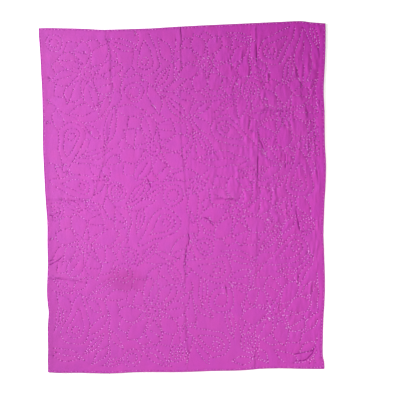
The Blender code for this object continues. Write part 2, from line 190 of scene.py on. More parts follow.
# across, up, length, turn in degrees, side that the tip leans to
PAISLEYS = (
    (-160, 600, 215, 25, 1), (400, 645, 210, -60, -1), (-490, 265, 215, 150, -1),
    (190, 300, 210, -100, 1), (520, 60, 215, 20, 1), (-440, 45, 200, 60, -1),
    (-70, -110, 215, 150, 1), (500, -225, 200, 100, -1), (-470, -590, 220, 10, 1),
    (160, -320, 210, 60, -1), (150, -650, 200, 80, 1),
)
PAISLEY_ROUND, PAISLEY_NECK, PAISLEY_NIP, PAISLEY_HOOK = 0.29, 0.95, 0.35, 0.22
PAISLEY_ECHO = 0.58  # size of the drop inside the drop
PAISLEY_EYE = 0.075

# across, up, radius
WHEELS = (
    (-290, 20, 42), (300, 470, 40), (-560, -60, 40), (300, -640, 42), (590, 230, 40), (-20, -690, 38),
)
WHEEL_RINGS = (0.62, 0.25)

# leaf length, points along the stem as (across, up)
VINES = (
    (120, ((-590, 420), (-420, 330), (-280, 420), (-240, 560), (-60, 470), (-30, 700))),
    (115, ((300, 720), (290, 520), (190, 440), (40, 400), (70, 200))),
    (110, ((600, 560), (560, 190), (400, 160), (330, 230))),
    (120, ((-600, 150), (-330, 130), (-340, -30), (-230, -60), (-240, -200))),
    (120, ((110, 120), (20, 20), (60, -60), (60, -200), (-60, -290), (-220, -290))),
    (115, ((610, -100), (460, -90), (420, -260), (320, -310), (270, -500))),
    (115, ((-590, -410), (-420, -440), (-330, -480), (-320, -730))),
    (110, ((600, -330), (580, -700), (340, -720), (250, -560))),
    (110, ((40, -380), (60, -560), (20, -740))),
)
LEAF_WIDTH, LEAF_PITCH, LEAF_UNEVEN = 0.36, 0.62, 0.22  # shares of the leaf's length
LEAF_FULLNESS = 0.9
LEAF_POINT = 1.15  # over 1 is sharper at both ends
LEAF_LEAN, LEAN_SWING = 42, 10  # degrees from the stem
LEAN_PACE, SIZE_PACE = 2.1, 1.7  # of how the leaves change along a stem
FIRST_LEAF, LEAF_STALK = 30, 8

# spare leaves and rings, sewn wherever the drawing leaves room
ROOM_STEP, ALL_ROOM = 12.0, 1000.0
HALF_FIELD = (640, 780)
LEAST_ROOM, RING_ROOM = 31.0, 44.0  # from the nearest row, for a leaf and for a ring
CROWD_REACH, BORDER_MARGIN = 110, 10
MOST_SPARES, SPARE_TURN = 200, 15
# in shares of the room: ends of a leaf and of its midrib, its width, two rings, where the turn is tried
SPARE_LEAF, SPARE_LEAF_WIDTH, SPARE_RINGS = (-1.7, 1.7, -1.3, 0.9), 0.95, (0.75, 0.4)
PROBE = np.linspace(-1.9, 1.9, 9)

HAND_WAVER, HAND_WAVE = 3.5, 150.0  # how far a hand-sewn row strays, and over what length
# two waves each for across and up: share, turns across, turns up, start
HAND_WAVES = (((1, 0, 1.1, 1.3), (0.6, 0.7, -1.9, 0)), ((1, 0.9, 0, 0.4), (0.6, 1.7, 0.6, 2)))
FINE_STEP = 4.0
CURVE_POINTS, LEAF_POINTS, RING_POINTS, PAISLEY_POINTS = 24, 28, 40, 60
SHORTEST_ROW = 4
DRAWING_INSET = 24.0

# ---- stitches and gaps ----

SEAM_SEED, THREAD_SEED = 11, 23
ROW_GRAIN = 1.5
UNEVEN_STEP, UNEVEN_ROW = 0.19, 0.14  # of the stitches in a row and of whole rows, in pitches
PROUD_SPREAD, PULL_SPREAD = (1.3, 2.8), (1.4, 2.2)
# how much prouder the thread stands at the bottom, at the right and in stretches
PROUD_LOW, PROUD_RIGHT, PROUD_UNEVEN = 0.29, 0.21, 0.14
# how tight it is drawn: everywhere, at the middle, at the right, at the bottom and in stretches
TIGHT_ALL, TIGHT_MIDDLE, TIGHT_RIGHT, TIGHT_LOW, TIGHT_UNEVEN = 0.05, 0.2, 0.11, -0.06, 0.2
MIDDLE_PLACE, MIDDLE_WIDTH = 30, 260
HEM_WAVER = 2.0
HEM_SHOWN = 0.45  # how bold the hem's stitches are against the others
LEAST_GAP, GAP_GROWTH = 1.05, 1.55  # radius of a gap's dip, painted dark as painted shade, and what a hard pull adds
GAP_STRAY = STITCH_STRAY = 0.7
RUN_HALF, NEARBY_GAPS = 2, 4
STITCH_TURN = 0.08  # how far a stitch turns off its row, in radians
HIDDEN_STITCH = 0.06  # a stitch less proud than this is sunk in the cloth
STITCH_FEET = 0.4  # from its middle, as a share of its length
# length, width and height of a stitch, and what a proud one adds
STITCH_SIZES = ((0.58, 0.75), (0.6, 0.75), (0.55, 1.1))
STITCH_SIDES, STITCH_STEPS = 6, 4
STITCH_SUNK = 0.7 * MM
STITCH_TAPER = 0.40  # how much narrower its ends are
STITCH_FLAT, END_FLAT = 0.62, 0.2  # thickness as a share of its width, and how much less at its ends
LOWEST = 0.1 * MM  # below this is the underside of the cloth, and no thread
LEVEL = 0.9999  # the upward share of a flat face's normal
EDGE_HEIGHT, ABOVE_ALL = 1.6 * MM, 0.1  # heights where a stitch runs over the edge and above the quilt

# ---- lie of the cloth ----

# fields of smooth noise: wavelengths across and up, place in the noise
HEM_DRIFT = ((70, 70, 4.4), (70, 70, 6.6))
PROUD_PATCHES, TIGHT_PATCHES = (45, 45, 2.7), (60, 60, 8.1)
FOLD_DRIFT = (50, 70, 7.7)
FOLDS = ((1, (12, 38, 1.4)), (0.7, (21, 70, 5.2)), (0.4, (50, 15, 4.4)))  # share of each, and its field
FOLD_PATCHES = (55, 80, 3.1)
FOLD_PATCHINESS, PATCHY_RANGE = (0.85, 0.6), (0.3, 1.4)
NOISE_GAIN = 1.4
RIPPLES = (16, 16, 8.8)
SWELLS, LONG_SWELLS = (38, 30, 9.3), (45, 75, 5.5)

# heights up the quilt, and how far across the gathers start at each, and how they ease at the top
GATHER_START = ((-700, -250, 50, 750), (340, 240, -30, -20))
GATHER_SPAN = 300
GATHER_EASE = ((580, 740), (1, 0.5))

# where the cloth is smooth, and what the most gathered cloth adds
PUFF_SHARE, RIPPLE_SHARE, FOLD_SHARE, SWELL_HEIGHT = (0.10, 0.35), (0.6, 0.9), (0.16, 0.84), (0.25, 0.6)
DIP_SHARE = (0.25, 1.1)  # at a slack gap, and what a hard pull adds
DIP_WIDTH = 2.8
RIPPLE_AWAY, RIPPLE_WIDTH = 8, 7  # from a row
HELD_SHARE, HELD_WIDTH = 0.45, 5.0  # of the small folds, by a row
FOLD_SWAY = 6
FOLD_LEVEL = 0.62  # between fold and valley
SWELL = 0.3
HEM_BAND = 4  # that the hem holds down, in hem rows
HEM_FREE = (0.1, 0.9)  # at the edge, and what the band's inner side adds
THINNEST = 0.8
# painted shade in dark bands along the edge: width of a band, how dark, how far right
EDGE_SHADES = ((14, 0.2, math.inf), (3, 0.38, math.inf), (50, 0.1, -450))
# painted shade at the foot of each crease, and the most of it
FOLD_SHADE, MOST_FOLD_SHADE = 0.08, 0.3
PUCKER_WEAR, CREASE_WEAR = 0.5, 0.4
NEAR_ROW, NEAR_KNOT, NEAR_CREASE = 0.42, 0.45, 0.5  # in cells of the sheet
ROW_PULL = 0.75
FAR = 99.0  # from any row or gap


# ---- settings ----


def number(name, description, default, unit="NONE"):
    return bpy.props.FloatProperty(name=name, description=description, default=default, unit=unit)


def length(name, description, default):
    return number(name, description, default, "LENGTH")


def colour(name, description, default):
    return bpy.props.FloatVectorProperty(
        name=name, description=description, default=default, subtype="COLOR", size=3, min=0, max=1
    )


class QuiltClothSettings(bpy.types.PropertyGroup):
    cells: bpy.props.IntVectorProperty(
        name="Cells", description="Cells of the sheet across and along", default=(330, 288), size=2
    )
    sewn: length("Sewn thickness", "Where stitches draw the layers together", 1.9 * MM)
    puff: length("Puff", "Height of the cloth between rows", 2.1 * MM)
    puff_reach: length("Puff reach", "From a row to nearly full height", 11 * MM)
    dip: length("Dip", "Depth between two stitches", 0.7 * MM)
    ripple: length("Ripple", "Height of the gathers beside a row", 0.35 * MM)
    pucker: length("Pucker", "Height of the upright gathers", 1.5 * MM)
    hem_row: length("Hem row", "From the edge to the hem's stitches", 6 * MM)
    hem_roll: length("Hem roll", "Thickness over the folded edge", 3.2 * MM)
    base: colour("Cotton", "Where it has kept its dye", (0.400, 0.0200, 0.325))
    # the paler colour stands for real fading, in clouds and on worn crests, and for painted sheen on the lit
    # left side
    sheened_and_faded: colour("Faded cotton", "Where it has faded", (0.405, 0.0585, 0.343))
    # painted shade: the dark colour mixed in at gaps, along rows, at crease feet and along the edge
    painted_shade: colour("Deep", "Down in a tuck", (0.20, 0.001, 0.16))
    stain: colour("Stain", "Colour of the one stain", (0.32, 0.030, 0.22))


class QuiltThreadSettings(bpy.types.PropertyGroup):
    pitch: length("Stitch pitch", "Distance from one stitch to the next", 13.3 * MM)
    stitch: length("Stitch length", "With its sunk ends", 4.7 * MM)
    width: length("Thread width", "Width of the soft doubled thread", 1.6 * MM)
    rise: length("Stitch rise", "Of its middle, above the cloth", 0.35 * MM)
    tint: colour("Thread", "Colour of the thread", (0.94, 0.41, 0.91))


class QuiltStageSettings(bpy.types.PropertyGroup):
    floor: colour("Floor", "Colour of the floor", (0.93, 0.93, 0.93))
    key: number("Key light", "Power of the soft window light", 414)
    fill: number("Fill light", "Strength of the even light", 0.268)
    glow: number("Glow", "How much the floor shines", 0.2)
    view_width: length("View width", "Seen by the camera at the floor", 1.768)
    lens: number("Lens", "Focal length in millimetres", 85)


# ---- lines ----


def turned(points, degrees, place=(0, 0)):
    """The points turned anticlockwise and then moved to a place."""
    c, s = math.cos(math.radians(degrees)), math.sin(math.radians(degrees))
    return np.asarray(points, float) @ np.array([[c, s], [-s, c]]) + np.asarray(place, float)


def distances_along(line):
    return np.concatenate([[0], np.cumsum(np.hypot(*np.diff(line, axis=0).T))])


def on_line(line, along, places):
    """The line's points at some distances along it."""
    return np.stack([np.interp(places, along, line[:, axis]) for axis in (0, 1)], axis=1)


def evenly(line, step):
    """The same line with its points an even step apart."""
    line = np.asarray(line, float)
    along = distances_along(line)
    return on_line(line, along, np.linspace(0, along[-1], max(2, round(along[-1] / step) + 1)))


def smooth_line(points):
    """A Catmull-Rom curve through a few given points."""
    points = np.array(points, float)
    knots = np.vstack([2 * points[0] - points[1], points, 2 * points[-1] - points[-2]])
    t = np.linspace(0, 1, CURVE_POINTS, endpoint=False)[:, None]
    pieces = []
    for p0, p1, p2, p3 in zip(knots, knots[1:], knots[2:], knots[3:]):
        bend = (2 * p0 - 5 * p1 + 4 * p2 - p3) * t**2 + (-p0 + 3 * p1 - 3 * p2 + p3) * t**3
        pieces.append(0.5 * (2 * p1 + (p2 - p0) * t + bend))
    return np.vstack(pieces + [points[-1:]])


def inside(points, polygon):
    """Which points lie inside a closed polygon, by counting the sides that a ray crosses."""
    x, y = points[:, :1], points[:, 1:]
    a, b = polygon, np.roll(polygon, -1, axis=0)
    rise = np.where(a[:, 1] == b[:, 1], 1.0, b[:, 1] - a[:, 1])
    crosses = (a[:, 1] > y) != (b[:, 1] > y)
    left_of = x < a[:, 0] + (b[:, 0] - a[:, 0]) * (y - a[:, 1]) / rise
    return (crosses & left_of).sum(axis=1) % 2 == 1


def within(points, line, margin=0.0):
    """Which points lie in the box round a line."""
    return ((points > line.min(axis=0) - margin) & (points < line.max(axis=0) + margin)).all(axis=1)


def edge_lines():
    """The four edges, each clockwise from its corner and bowed as its rows say."""
    lines = []
    for start, end, rows in zip(CORNERS, CORNERS[1:] + CORNERS[:1], EDGES):
        start, end = np.array(start, float), np.array(end, float)
        span = np.hypot(*(end - start))
        run = (end - start) / span
        bowed = smooth_line([(0, 0), *rows, (span, 0)])
        lines.append(start + bowed[:, :1] * run + bowed[:, 1:] * np.array([-run[1], run[0]]))
    return lines


def outline(step, inset=0.0):
    """The quilt's outline, clockwise from its top left corner, and moved inwards by an inset."""
    rim = np.vstack([evenly(line, step)[:-1] for line in edge_lines()])
    before, after = np.roll(rim, 1, axis=0), np.roll(rim, -1, axis=0)
    along = (after - before) / np.hypot(*(after - before).T)[:, None]
    pull = math.sqrt(2) - 1
    for corner, roundness in zip(CORNERS, CORNER_ROUND):
        at = np.hypot(*(rim - corner).T).argmin()
        inwards = (before[at] + after[at]) / 2 - rim[at]
        rim[at] += inwards / np.hypot(*inwards) * (roundness * pull + inset * pull)
    return rim + inset * np.stack([along[:, 1], -along[:, 0]], axis=1)


def middle_of_quilt():
    """The middle of the quilt's box, which is the middle of the frame."""
    rim = outline(RIM_STEP)
    return (rim.min(axis=0) + rim.max(axis=0)) / 2


def leaf(base, tip, width, fullness):
    """A closed pointed oval, from its base round its tip and back."""
    base, tip = np.array(base, float), np.array(tip, float)
    t = np.linspace(0, 1, LEAF_POINTS)[:, None]
    across = np.array([base[1] - tip[1], tip[0] - base[0]]) / np.hypot(*(tip - base))
    half = 0.5 * width * np.sin(math.pi * t**fullness).clip(0) ** LEAF_POINT
    middle = base + (tip - base) * t
    return np.vstack([middle + half * across, (middle - half * across)[-2::-1]])


def ring(across, up, radius):
    t = np.linspace(0, 2 * math.pi, RING_POINTS)
    return np.array((across, up)) + radius * np.stack([np.cos(t), np.sin(t)], axis=1)


def paisley(across, up, size, turn, side):
    """A closed drop, from its tip round and back, whose tip leans over to one side."""
    radius = PAISLEY_ROUND * size
    t = math.pi / 2 + np.linspace(0, 2 * math.pi, PAISLEY_POINTS)
    pull = np.sin(t).clip(0)
    x = radius * np.cos(t) * (1 - PAISLEY_NIP * pull**3) + side * PAISLEY_HOOK * size * pull**2
    y = radius * np.sin(t) + PAISLEY_NECK * (size - 2 * radius) * pull**3
    return turned(np.stack([x, y], axis=1), turn, (across, up))


def crease_lines():
    return [evenly(smooth_line(points), FINE_STEP) for _, _, points in CREASES]


def tree_of(points):
    tree = kdtree.KDTree(len(points))
    for index, (x, y) in enumerate(points):
        tree.insert((x, y, 0), index)
    tree.balance()
    return tree


def nearest(tree, points):
    """For each point, how far the tree's nearest one lies, where it is and its number."""
    found = [tree.find((x, y, 0)) for x, y in points]
    away, place = np.array([item[2] for item in found]), np.array([item[0].xy for item in found])
    return away, place, np.array([item[1] for item in found])


def noise_at(points, field):
    """Smooth noise from about -1 to 1."""
    across, up, place = field
    return np.array([noise.noise(Vector((x / across, y / up, place))) for x, y in points]) * NOISE_GAIN


def bell(distance, width):
    """1 where the distance is 0, falling to 0 on both sides."""
    return np.exp(-((distance / width) ** 2))


def between(ends, share):
    """The first of two numbers with a share of the second added."""
    return ends[0] + ends[1] * share


# ---- stitched drawing ----


class Drawing:
    """Rows of stitches. A row stops at the drawing's border and behind the shapes sewn before it."""

    def __init__(self):
        self.border = outline(RIM_STEP, DRAWING_INSET)
        self.rows = []
        self.shapes = []

    def add(self, line, is_shape=True, hidden=True):
        """Sews a line, which the shapes may hide."""
        line = evenly(line, FINE_STEP)
        x, y = line.T * 2 * math.pi / HAND_WAVE
        stray = [
            sum(share * np.sin(across * x + up * y + start) for share, across, up, start in waves)
            for waves in HAND_WAVES
        ]
        line = line + HAND_WAVER * np.stack(stray, axis=1)
        shown = inside(line, self.border)
        for shape in self.shapes if hidden else ():
            where = np.nonzero(shown & within(line, shape))[0]
            if len(where):
                shown[where] = ~inside(line[where], shape)
        where = np.nonzero(shown)[0]
        for run in np.split(where, np.nonzero(np.diff(where) > 1)[0] + 1):
            if len(run) > SHORTEST_ROW:
                self.rows.append(line[run])
        if is_shape:
            self.shapes.append(line)

    def add_inner(self, line):
        self.add(line, is_shape=False, hidden=False)

    def add_petals(self, across, up, radius, turn, root, reach, waves):
        for petal, wave in enumerate(waves):
            tip = reach * radius * (1 + PETAL_UNEVEN * wave)
            angle = turn + 360 * petal / LOTUS_PETALS
            ends = turned([(root * radius, 0), (tip, 0)], angle, (across, up))
            self.add(leaf(*ends, PETAL_WIDTH * radius, PETAL_FULLNESS))

    def add_vine(self, leaf_length, points):
        stem = evenly(smooth_line(points), FINE_STEP)
        pitch = LEAF_PITCH * leaf_length
        for count in range(int((len(stem) * FINE_STEP - FIRST_LEAF) / pitch)):
            at = min(round((FIRST_LEAF + pitch * count) / FINE_STEP), len(stem) - 2)
            side = 1 if count % 2 else -1
            lean = side * (LEAF_LEAN + LEAN_SWING * math.sin(LEAN_PACE * count))
            size = leaf_length * (1 + LEAF_UNEVEN * math.sin(SIZE_PACE * count + leaf_length))
            along = math.degrees(math.atan2(*(stem[at + 1] - stem[at - 1])[::-1]))
            base, tip = turned([(LEAF_STALK, 0), (LEAF_STALK + size, 0)], along + lean, stem[at])
            self.add(leaf(base, tip, LEAF_WIDTH * size, LEAF_FULLNESS))
        self.add(stem, is_shape=False)

    def fill_room(self):
        """Sews a leaf with its midrib, or a pair of rings, in each place that is still bare."""
        across, up = (np.arange(-half, half + 1, ROOM_STEP) for half in HALF_FIELD)
        spots = np.stack(np.meshgrid(across, up, indexing="ij"), axis=-1).reshape(-1, 2)
        room = np.where(inside(spots, self.border), ALL_ROOM, 0.0)

        def crowd(line, margin=0.0):
            for point in evenly(line, ROOM_STEP):
                near = np.nonzero((abs(spots - point) < CROWD_REACH).all(axis=1))[0]
                room[near] = np.minimum(room[near], np.hypot(*(spots[near] - point).T) + margin)

        def room_at(points):
            cells = ((points + HALF_FIELD) / ROOM_STEP).round().astype(int)
            column, line = cells.clip(0, (len(across) - 1, len(up) - 1)).T
            return room.reshape(len(across), len(up))[column, line].sum()

        for row in self.rows:
            crowd(row)
        crowd(np.vstack([self.border, self.border[:1]]), BORDER_MARGIN)
        for count in range(MOST_SPARES):
            best = int(room.argmax())
            size, middle = room[best], spots[best]
            if size < LEAST_ROOM:
                break
            probe = np.stack([PROBE * size, np.zeros(len(PROBE))], axis=1)
            turns = range(0, 180, SPARE_TURN)
            turn = max(turns, key=lambda degrees: room_at(turned(probe, degrees, middle)))
            if size > RING_ROOM and count % 2:
                outer, inner = (ring(*middle, share * size) for share in SPARE_RINGS)
            else:
                base, tip, low, high = turned([(x * size, 0) for x in SPARE_LEAF], turn, middle)
                outer, inner = leaf(base, tip, SPARE_LEAF_WIDTH * size, 1), np.array([low, high])
            self.add(outer)
            self.add_inner(inner)
            crowd(outer)
            crowd(inner)
            room[best] = 0


def stitched_rows():
    drawing = Drawing()
    for across, up, radius, turn in LOTUSES:
        drawing.add(ring(across, up, LOTUS_HUB * radius))
        waves = np.sin(FRONT_PACE * np.arange(LOTUS_PETALS) + radius)
        drawing.add_petals(across, up, radius, turn, LOTUS_HUB, LOTUS_REACH, waves)
    for row in PAISLEYS:
        drawing.add(paisley(*row))
    for row in WHEELS:
        drawing.add(ring(*row))
    for row in VINES:
        drawing.add_vine(*row)
    for across, up, radius, turn in LOTUSES:
        # the tips of a second ring of petals, which show between the first
        waves = np.cos(BACK_PACE * np.arange(LOTUS_PETALS) + radius)
        drawing.add_petals(across, up, radius, turn + 180 / LOTUS_PETALS, LOTUS_BACK_ROOT, 1, waves)
        drawing.add_inner(ring(across, up, LOTUS_EYE * radius))
    for across, up, size, turn, side in PAISLEYS:
        drawing.add_inner(paisley(across, up, PAISLEY_ECHO * size, turn, side))
        drawing.add_inner(ring(across, up, PAISLEY_EYE * size))
    for across, up, radius in WHEELS:
        for share in WHEEL_RINGS:
            drawing.add_inner(ring(across, up, share * radius))
    drawing.fill_room()
    return drawing.rows


@functools.cache
class Seams:
    """Every row of stitches: where each stitch and each gap between two lies."""

    def __init__(self, pitch, hem_inset):
        hem = outline(RIM_STEP, hem_inset)
        hem = evenly(np.vstack([hem, hem[:1]]), FINE_STEP)
        hem = hem + HEM_WAVER * np.column_stack([noise_at(hem, field) for field in HEM_DRIFT])
        rows = [(hem, pitch, HEM_SHOWN, 0)]
        rows += [(row, pitch, 1, 0) for row in stitched_rows()]
        for across, up, size, turn in KNOTS:
            snarl = turned(np.array(KNOT_FORM) * size, turn, (across, up))
            rows.append((snarl, KNOT_PITCH, 1, KNOT_TIGHT))
        rows += [(smooth_line(points), TUCK_PITCH, 0, tight) for tight, points in TUCKS]
        draw = np.random.default_rng(SEAM_SEED)
        parts = [np.concatenate(part) for part in zip(*(self.sewn(draw, *row) for row in rows))]
        points, self.along, self.heading, self.stitches, self.runs, bold, self.gaps, self.lean, least = parts
        # how proud each stitch stands and how tight each gap is drawn, from 0 to 1
        proud = draw.beta(*PROUD_SPREAD, len(self.stitches)) + proudness(self.stitches)
        pull = draw.beta(*PULL_SPREAD, len(self.gaps)) + tightness(self.gaps)
        self.proud = proud.clip(0, 1) * bold
        shown, tight = least.T
        self.pull = np.maximum(pull.clip(0, 1) * shown, tight)
        self.gap_radius = LEAST_GAP + GAP_GROWTH * self.pull
        self.row_tree, self.gap_tree = tree_of(points), tree_of(self.gaps)
        self.knot_tree = tree_of(np.vstack([self.gaps, self.stitches]))

    @staticmethod
    def sewn(draw, row, pitch, shown, tight):
        """One row: its points, its stitches and its gaps. A tuck's gaps run together into a groove."""
        fine = evenly(row, ROW_GRAIN)
        along = distances_along(fine)
        count = max(1, round(along[-1] / pitch * draw.uniform(1 - UNEVEN_ROW, 1 + UNEVEN_ROW)))
        step = along[-1] / count
        middles = (np.arange(count) + 0.5 + draw.normal(0, UNEVEN_STEP, count)) * step
        holes = (np.arange(count + 1) + draw.normal(0, UNEVEN_STEP, count + 1)) * step
        is_tuck = pitch == TUCK_PITCH
        heading = np.gradient(fine, along, axis=0)
        runs = on_line(fine, along, middles + RUN_HALF) - on_line(fine, along, middles - RUN_HALF)
        gaps = on_line(fine, along, holes) + draw.normal(0, GAP_STRAY, (count + 1, 2)) * (not is_tuck)
        lean = on_line(heading, along, holes) * is_tuck
        least = np.full((count + 1, 2), (shown, tight), float)
        lean[[0, -1]] = 0
        least[[0, -1]] *= 1 - TUCK_END_SLACK * is_tuck
        stitches = on_line(fine, along, middles)
        return fine, along, heading, stitches, runs, np.full(count, shown), gaps, lean, least

    def felt_gaps(self, points):
        """For each point, the number of the nearby gap whose dip reaches it most."""
        radius = self.gap_radius
        nearby = [self.gap_tree.find_n((x, y, 0), NEARBY_GAPS) for x, y in points]
        return np.array([min(found, key=lambda gap: gap[2] / radius[gap[1]])[1] for found in nearby])


def lowness(points):
    """From 0 above the quilt's middle to 1 at its bottom edge."""
    return (-points[:, 1] / HALF_FIELD[1]).clip(0, 1)


def proudness(points):
    """The thread stands prouder towards the bottom and the right, and in stretches."""
    rightness = PROUD_RIGHT * points[:, 0] / HALF_FIELD[0]
    return PROUD_LOW * lowness(points) + rightness + PROUD_UNEVEN * noise_at(points, PROUD_PATCHES)


def tightness(points):
    """The thread is drawn tighter in stretches, at the middle and the right, and less at the bottom."""
    middle, rightness = bell(points[:, 0] - MIDDLE_PLACE, MIDDLE_WIDTH), points[:, 0] / HALF_FIELD[0]
    even = TIGHT_ALL + TIGHT_MIDDLE * middle + TIGHT_RIGHT * rightness + TIGHT_LOW * lowness(points)
    return even + TIGHT_UNEVEN * noise_at(points, TIGHT_PATCHES)


def seams_of(scene):
    return Seams(scene.quilt_thread.pitch / MM, scene.quilt_cloth.hem_row / MM)


# ---- cloth ----


def drawn_to_rim(shares, cells):
    """The outermost points drawn close to the rim, so that the edge turns over sharply."""
    index, last = shares * cells, np.array(cells)
    index = np.where(abs(index - 1) < 0.5, RIM_CELL, index)
    return np.where(abs(index - last + 1) < 0.5, last - RIM_CELL, index) / last


def on_outline(u, v):
    """Places on the quilt for shares across and up, spread between its four edges."""

    def at(line, share):
        along = distances_along(line)
        return on_line(line, along / along[-1], share)

    top, right, bottom, left = edge_lines()
    top_left, top_right, bottom_right, bottom_left = np.array(CORNERS, float)
    across, up = u[:, None], v[:, None]
    sides = (1 - across) * at(left, v) + across * at(right, 1 - v)
    ends = (1 - up) * at(bottom, 1 - u) + up * at(top, u)
    low = (1 - across) * bottom_left + across * bottom_right
    high = (1 - across) * top_left + across * top_right
    return sides + ends - (1 - up) * low - up * high


def rounded_corners(points):
    """The square corners drawn in to small arcs."""
    points = points.copy()
    for corner, radius in zip(CORNERS, CORNER_ROUND):
        inwards = -np.sign(corner)
        centre = np.array(corner) + radius * inwards
        offset = (centre - points) * inwards / radius
        near = (offset > 0).all(axis=1) & (offset <= 1.001).all(axis=1)
        square = offset[near]
        pull = square.max(axis=1) / np.maximum(np.hypot(*square.T), 1e-6)
        points[near] = centre - square * pull[:, None] * radius * inwards
    return points


def crease_relief(points):
    """Each crease rises to a soft crest and drops sharply on its right or lower side, to a foot that gets
    painted shade.
    """
    relief, foot = np.zeros(len(points)), np.zeros(len(points))
    for (depth, half_width, _), line in zip(CREASES, crease_lines()):
        bank = BANK * half_width
        near = within(points, line, 3 * bank)
        away, place, at = nearest(tree_of(line), points[near])
        aside = points[near] - place
        strength = depth * (FINE_STEP * np.minimum(at, len(line) - 1 - at) / CREASE_FADE).clip(0, 1)
        past = np.where(aside[:, 0] - aside[:, 1] > 0.5, away, -away)
        crest = CREST_SHARE * bell(away, bank)
        hollow = (CREST_SHARE - 1) * bell(past, HOLLOW_WIDTH * bank)
        relief[near] += strength * np.where(past <= 0, crest, hollow)
        run, rise = abs(line[-1] - line[0])
        shade = (LEVEL_SHADE if run > rise else 1.0) * strength
        shade *= bell(past - FOOT_PLACE * half_width, FOOT_WIDTH * half_width)
        foot[near] = np.maximum(foot[near], shade)
    return relief, foot


def pucker_relief(points):
    """Each pucker rises gently on its left and drops sharply into a groove on its right."""
    relief = np.zeros(len(points))
    for across, up, size, half_width, height, turn in PUCKERS:
        x, y = turned(points - (across, up), -turn).T / half_width
        ends = np.exp(-((2 * y * half_width / size) ** 4))
        ridge = PUCKER_RIDGE * bell(x, np.where(x < 0, 1.0, PUCKER_DROP))
        relief += height * ends * (ridge - GROOVE_DEPTH * bell(x - GROOVE_PLACE, GROOVE_WIDTH))
    return relief


def wrinkles(points, gather):
    """Small upright folds with sharp valleys, and fainter level ones: below 0 in a valley."""
    drift = FOLD_SWAY * noise_at(points, FOLD_DRIFT)
    warp = points + np.column_stack([drift, np.zeros(len(points))])
    folds = sum(share * np.abs(noise_at(warp, field)) for share, field in FOLDS)
    patchy = between(FOLD_PATCHINESS, noise_at(points, FOLD_PATCHES)).clip(*PATCHY_RANGE)
    return between(FOLD_SHARE, gather * patchy) * (folds - FOLD_LEVEL)


def gathering(points):
    """From 0 at the smooth left to 1 where the cloth is gathered most, at the upper right."""
    x, y = points.T
    start = np.interp(y, *GATHER_START)
    return ((x - start) / GATHER_SPAN).clip(0, 1) * np.interp(y, *GATHER_EASE)


def drawn_to_seams(flat, inner, seams, cell):
    """Moves the sheet's points near a stitch, a gap or a crease onto it, and others towards a row."""
    points = flat.copy()
    away, place, _ = nearest(seams.row_tree, flat)
    near = inner & (away < NEAR_ROW * cell)
    points[near] += ROW_PULL * (place - flat)[near]
    creases = tree_of(np.vstack([evenly(line, ROW_GRAIN) for line in crease_lines()]))
    for tree, reach in ((seams.knot_tree, NEAR_KNOT), (creases, NEAR_CREASE)):
        away, place, _ = nearest(tree, flat)
        near = inner & (away < reach * cell)
        points[near] = place[near]
    return points


def lay_cloth(flat, seams, sizes, cell):
    """The sheet's points, their heights, how much painted shade each gets at crease feet and in bands along
    the edge, and how worn.
    """
    from_edge = nearest(tree_of(outline(FINE_STEP)), flat)[0]
    points = drawn_to_seams(flat, from_edge > cell, seams, cell)
    away = nearest(seams.row_tree, points)[0]
    gap_away, _, gap = nearest(seams.gap_tree, points)
    gather = gathering(points)
    creases, fold_groove = crease_relief(points)
    puckers = pucker_relief(points)

    puff = sizes.puff / MM * between(PUFF_SHARE, gather)
    height = sizes.sewn / MM + puff * (1 - bell(away, sizes.puff_reach / MM))
    height -= sizes.dip / MM * bell(gap_away, DIP_WIDTH) * between(DIP_SHARE, seams.pull[gap])
    ripple = noise_at(points, RIPPLES) * bell(away - RIPPLE_AWAY, RIPPLE_WIDTH)
    height += sizes.ripple / MM * between(RIPPLE_SHARE, gather) * ripple
    loose = 1 - HELD_SHARE * bell(away, HELD_WIDTH)
    height += sizes.pucker / MM * wrinkles(points, gather) * loose
    height += SWELL * noise_at(points, SWELLS)
    height += between(SWELL_HEIGHT, gather) * noise_at(points, LONG_SWELLS)
    height += creases + puckers

    roll, band = sizes.hem_roll / MM, HEM_BAND * sizes.hem_row / MM
    share = (from_edge / band).clip(0, 1)
    height = np.where(share < 1, roll + (height - roll) * between(HEM_FREE, share), height)
    edge_round = (from_edge / EDGE_TURN).clip(0, 1)
    height *= 0.5 + 0.5 * np.sqrt(1 - (1 - edge_round) ** 2)

    # painted shade: the tuck attribute darkens the colour at the foot of each crease and in bands along the
    # edge
    tuck = (FOLD_SHADE * fold_groove).clip(0, MOST_FOLD_SHADE)
    for width, shade, right_end in EDGE_SHADES:
        tuck = np.maximum(tuck, shade * (1 - from_edge / width).clip(0) * (points[:, 0] < right_end))
    crest = (PUCKER_WEAR * puckers.clip(0, 3) / 3 + CREASE_WEAR * creases.clip(0, 1)).clip(0, 1)
    return points, height.clip(THINNEST), tuck, crest


def close_underside(sheet):
    """Turns the rim under and closes the flat underside."""
    rim = [edge for edge in sheet.edges if edge.is_boundary]
    skirt = bmesh.ops.extrude_edge_only(sheet, edges=rim)["geom"]
    low = [item for item in skirt if isinstance(item, bmesh.types.BMEdge) and item.is_boundary]
    for vert in {vert for edge in low for vert in edge.verts}:
        vert.co.z = 0.0
        for layer in sheet.verts.layers.float.values():
            vert[layer] = 0.0
    bmesh.ops.triangle_fill(sheet, use_beauty=True, use_dissolve=False, edges=low)
    bmesh.ops.recalc_face_normals(sheet, faces=sheet.faces)
    if sheet.calc_volume(signed=True) < 0:
        bmesh.ops.reverse_faces(sheet, faces=sheet.faces)


